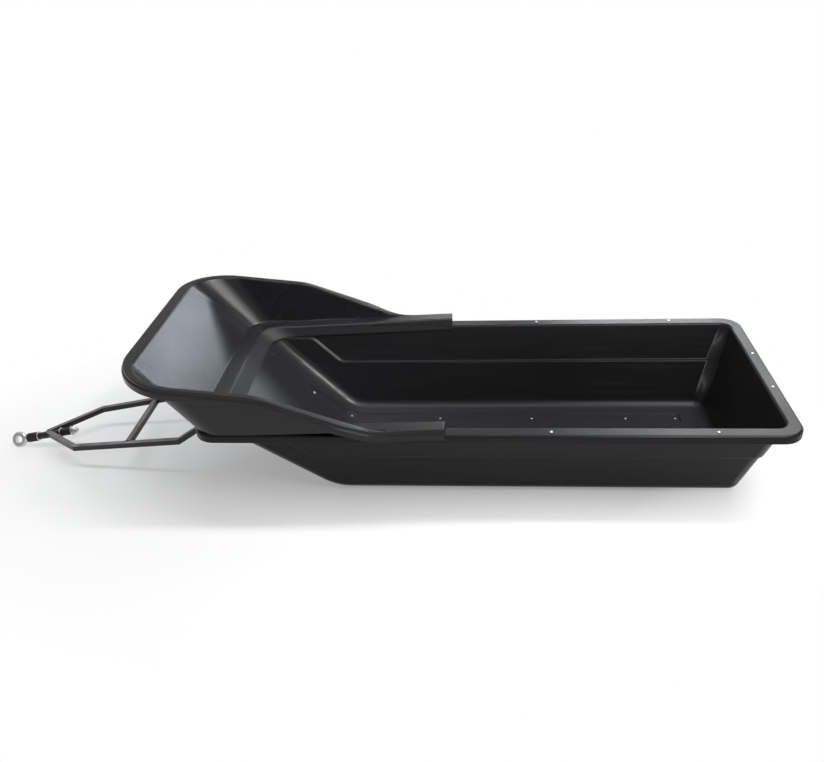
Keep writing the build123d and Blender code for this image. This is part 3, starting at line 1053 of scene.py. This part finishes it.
@dataclass
class Underside:
    """Steel under the tub: the runner strips, and the hinge plate with its pins."""

    strip_edge: float = 0.0008
    plate_edge: float = 0.0008
    pin_edge: float = 0.0010

    def build(self, shop: Workshop) -> None:
        """Makes the strips, the plate and the pins.

        Args:
            shop: the workshop with the frame and the finishes.
        """
        pieces = (
            ("wear_strip_left", Slot.RUNNER, self.strip_edge),
            ("hinge_pin_left", Slot.ZINC, self.pin_edge),
            ("wear_strip_right", Slot.RUNNER, self.strip_edge),
            ("hinge_pin_right", Slot.ZINC, self.pin_edge),
            ("hinge_plate", Slot.PAINT, self.plate_edge),
        )
        for node, slot, edge in pieces:
            RoundedPiece(node, slot, Body.SLED, edge, edge).build(shop)


@dataclass(frozen=True)
class Lamp:
    """A rectangular soft light: its power is in watts, and its beam is the full angle it lights."""

    name: str
    place: Point
    target: Point
    size: Pair
    power: float
    colour: Point = (1.0, 1.0, 1.0)
    beam: float = radians(180.0)

    def hang(self) -> None:
        """Adds the lamp to the scene."""
        data = bpy.data.lights.new(self.name, "AREA")
        data.shape = "RECTANGLE"
        data.size, data.size_y = self.size
        data.energy = self.power
        data.color = self.colour
        data.spread = self.beam
        made = bpy.data.objects.new(self.name, data)
        bpy.context.scene.collection.objects.link(made)
        made.location = self.place
        ahead = Vector(self.target) - Vector(self.place)
        made.rotation_euler = ahead.to_track_quat("-Z", "Y").to_euler()


@dataclass
class Studio:
    """Pale floor, soft light and the camera at the photograph's angle."""

    lens: float = 36.75
    sensor: float = 36.0
    eye: Point = (-0.4346, 2.7329, 1.8376)
    yaw: float = 0.095
    pitch: float = 0.512
    roll: float = -0.050
    floor_colour: Colour = (0.97, 0.97, 0.97, 1.0)
    floor_roughness: float = 0.6
    floor_specular: float = 0.1
    floor_reach: float = 40.0
    floor_near: float = 0.28
    floor_spread: Point = (0.50, 0.80, 0.0)
    floor_fade: Pair = (0.55, 0.95)
    world_colour: Colour = (0.92, 0.96, 1.0, 1.0)
    world_strength: float = 0.20
    backdrop_colour: Colour = (1.0, 1.0, 1.0, 1.0)
    ceiling_strength: float = 0.32
    horizon: Pair = (0.05, 0.22)
    sky_energy: float = 0.6
    sky_spread: float = 100.0
    sky_way: Point = (-0.20, 0.25, -1.0)
    lamps: tuple[Lamp, ...] = (
        Lamp(
            "panel_window", (-1.80, -4.6, 2.36), (0.6, 0.0, 0.45), (1.4, 0.92), 48.0, (0.80, 0.90, 1.0)
        ),
        Lamp("band_window", (-0.1, -4.6, 2.5), (0.5, 0.0, 0.35), (0.8, 0.8), 8.0),
        Lamp("rim_window", (-3.0, -4.6, 3.3), (-1.3, 0.1, 0.34), (1.4, 1.4), 2.0, beam=radians(30.0)),
        Lamp("arm_window", (4.6, -4.6, 2.8), (1.0, 0.1, 0.1), (1.8, 1.2), 34.0),
        Lamp("side_window", (-1.9, 1.0, 2.2), (0.6, -0.4, 0.4), (2.2, 0.8), 62.0),
        Lamp("ramp_window", (-1.65, 0.10, 2.9), (0.3, -0.3, 0.2), (0.7, 0.7), 3.6, beam=radians(24.0)),
        Lamp("ceiling_strip", (-0.3, 0.3, 3.3), (-0.3, 0.2, 0.2), (4.4, 0.3), 46.0),
    )

    def camera(self) -> bpy.types.Object:
        """Adds the camera and makes it the scene's own.

        Returns:
            The camera object.
        """
        data = bpy.data.cameras.new("photo_camera")
        data.lens = self.lens
        data.sensor_width = self.sensor
        made = bpy.data.objects.new("photo_camera", data)
        bpy.context.scene.collection.objects.link(made)
        # right, down and ahead of a level camera that looks towards -Y
        turn = Matrix(((-1, 0, 0), (0, 0, -1), (0, -1, 0)))
        for angle, axis in ((self.yaw, "Y"), (self.pitch, "X"), (self.roll, "Z")):
            turn = Matrix.Rotation(angle, 3, axis) @ turn
        right, down, ahead = turn
        axes = Matrix((right, -down, -ahead)).transposed()
        made.matrix_world = Matrix.Translation(self.eye) @ axes.to_4x4()
        bpy.context.scene.camera = made
        return made

    def floor(self) -> bpy.types.Object:
        """Adds the floor, which isn't part of the pulk.

        Returns:
            The floor object.
        """
        shape = bmesh.new()
        bmesh.ops.create_grid(shape, x_segments=1, y_segments=1, size=self.floor_reach)
        made = new_object("floor", shape)
        look = Pattern("floor_paint")
        look.feed(look.shader.inputs["Base Color"], self.floor_colour)
        look.feed(look.shader.inputs["Roughness"], self.floor_roughness)
        look.shader.inputs["Specular IOR Level"].default_value = self.floor_specular
        far = look.node("VectorMath", Vector=look.stretched(self.floor_spread))
        far.operation = "LENGTH"
        share = look.span(far.outputs["Value"], *self.floor_fade, self.floor_near, 1.0)
        shown = look.node("Math", Value=self.seen(look.tree))
        shown.operation = "MULTIPLY"
        look.feed(shown.inputs[1], share)
        mix = look.node("MixShader", Fac=shown.outputs[0])
        look.feed(mix.inputs[1], look.shader.outputs["BSDF"])
        look.feed(mix.inputs[2], look.node("Emission").outputs["Emission"])
        look.feed(look.tree.nodes["Material Output"].inputs["Surface"], mix.outputs[0])
        made.data.materials.append(look.material)
        return made

    def seen(self, tree: bpy.types.NodeTree) -> bpy.types.NodeSocket:
        """Adds nodes that tell the rays that show the background from the rays that carry light.

        Args:
            tree: node tree of the floor's material or of the world.

        Returns:
            A value of 1 for camera, glossy and transmission rays, and 0 for the others.
        """
        path = tree.nodes.new("ShaderNodeLightPath")
        total = path.outputs["Is Camera Ray"]
        for kind in ("Is Glossy Ray", "Is Transmission Ray"):
            either = tree.nodes.new("ShaderNodeMath")
            either.operation = "MAXIMUM"
            tree.links.new(total, either.inputs[0])
            tree.links.new(path.outputs[kind], either.inputs[1])
            total = either.outputs[0]
        return total

    def sky_light(self) -> None:
        """Adds the broad light from above and behind, which throws the shadow to the near side."""
        data = bpy.data.lights.new("sky_light", "SUN")
        data.energy = self.sky_energy
        data.angle = radians(self.sky_spread)
        made = bpy.data.objects.new("sky_light", data)
        bpy.context.scene.collection.objects.link(made)
        made.rotation_euler = Vector(self.sky_way).to_track_quat("-Z", "Y").to_euler()

    def light(self) -> None:
        """Adds the lamps and the sky light."""
        for lamp in self.lamps:
            lamp.hang()
        self.sky_light()

    def backdrop(self) -> None:
        """Adds the world: even light, shown as white that darkens towards the ceiling."""
        world = bpy.data.worlds.new("studio_world")
        bpy.context.scene.world = world
        world.use_nodes = True
        tree = world.node_tree
        soft = tree.nodes["Background"]
        soft.inputs["Color"].default_value = self.world_colour
        soft.inputs["Strength"].default_value = self.world_strength
        white = tree.nodes.new("ShaderNodeBackground")
        white.inputs["Color"].default_value = self.backdrop_colour
        way = tree.nodes.new("ShaderNodeTexCoord")
        split = tree.nodes.new("ShaderNodeSeparateXYZ")
        tree.links.new(way.outputs["Generated"], split.inputs["Vector"])
        rise = tree.nodes.new("ShaderNodeMapRange")
        tree.links.new(split.outputs["Z"], rise.inputs["Value"])
        ends = (*self.horizon, 1.0, self.ceiling_strength)
        for name, value in zip(("From Min", "From Max", "To Min", "To Max"), ends):
            rise.inputs[name].default_value = value
        tree.links.new(rise.outputs["Result"], white.inputs["Strength"])
        mix = tree.nodes.new("ShaderNodeMixShader")
        tree.links.new(self.seen(tree), mix.inputs[0])
        tree.links.new(soft.outputs[0], mix.inputs[1])
        tree.links.new(white.outputs[0], mix.inputs[2])
        tree.links.new(mix.outputs[0], tree.nodes["World Output"].inputs["Surface"])


def main() -> None:
    """Builds the pulk's pieces in order, then the studio."""
    logging.basicConfig(level=logging.INFO, format="%(name)s: %(message)s")
    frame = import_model()
    shop = Workshop(frame)
    Tub().build(shop)
    Fender().build(shop)
    Underside().build(shop)
    Fastenings().build(shop)
    Drawbar().build(shop)
    Hitch().build(shop)
    studio = Studio()
    studio.floor()
    studio.light()
    studio.backdrop()
    studio.camera()
    bpy.context.scene.view_settings.view_transform = "Standard"


if __name__ == "__main__":
    main()
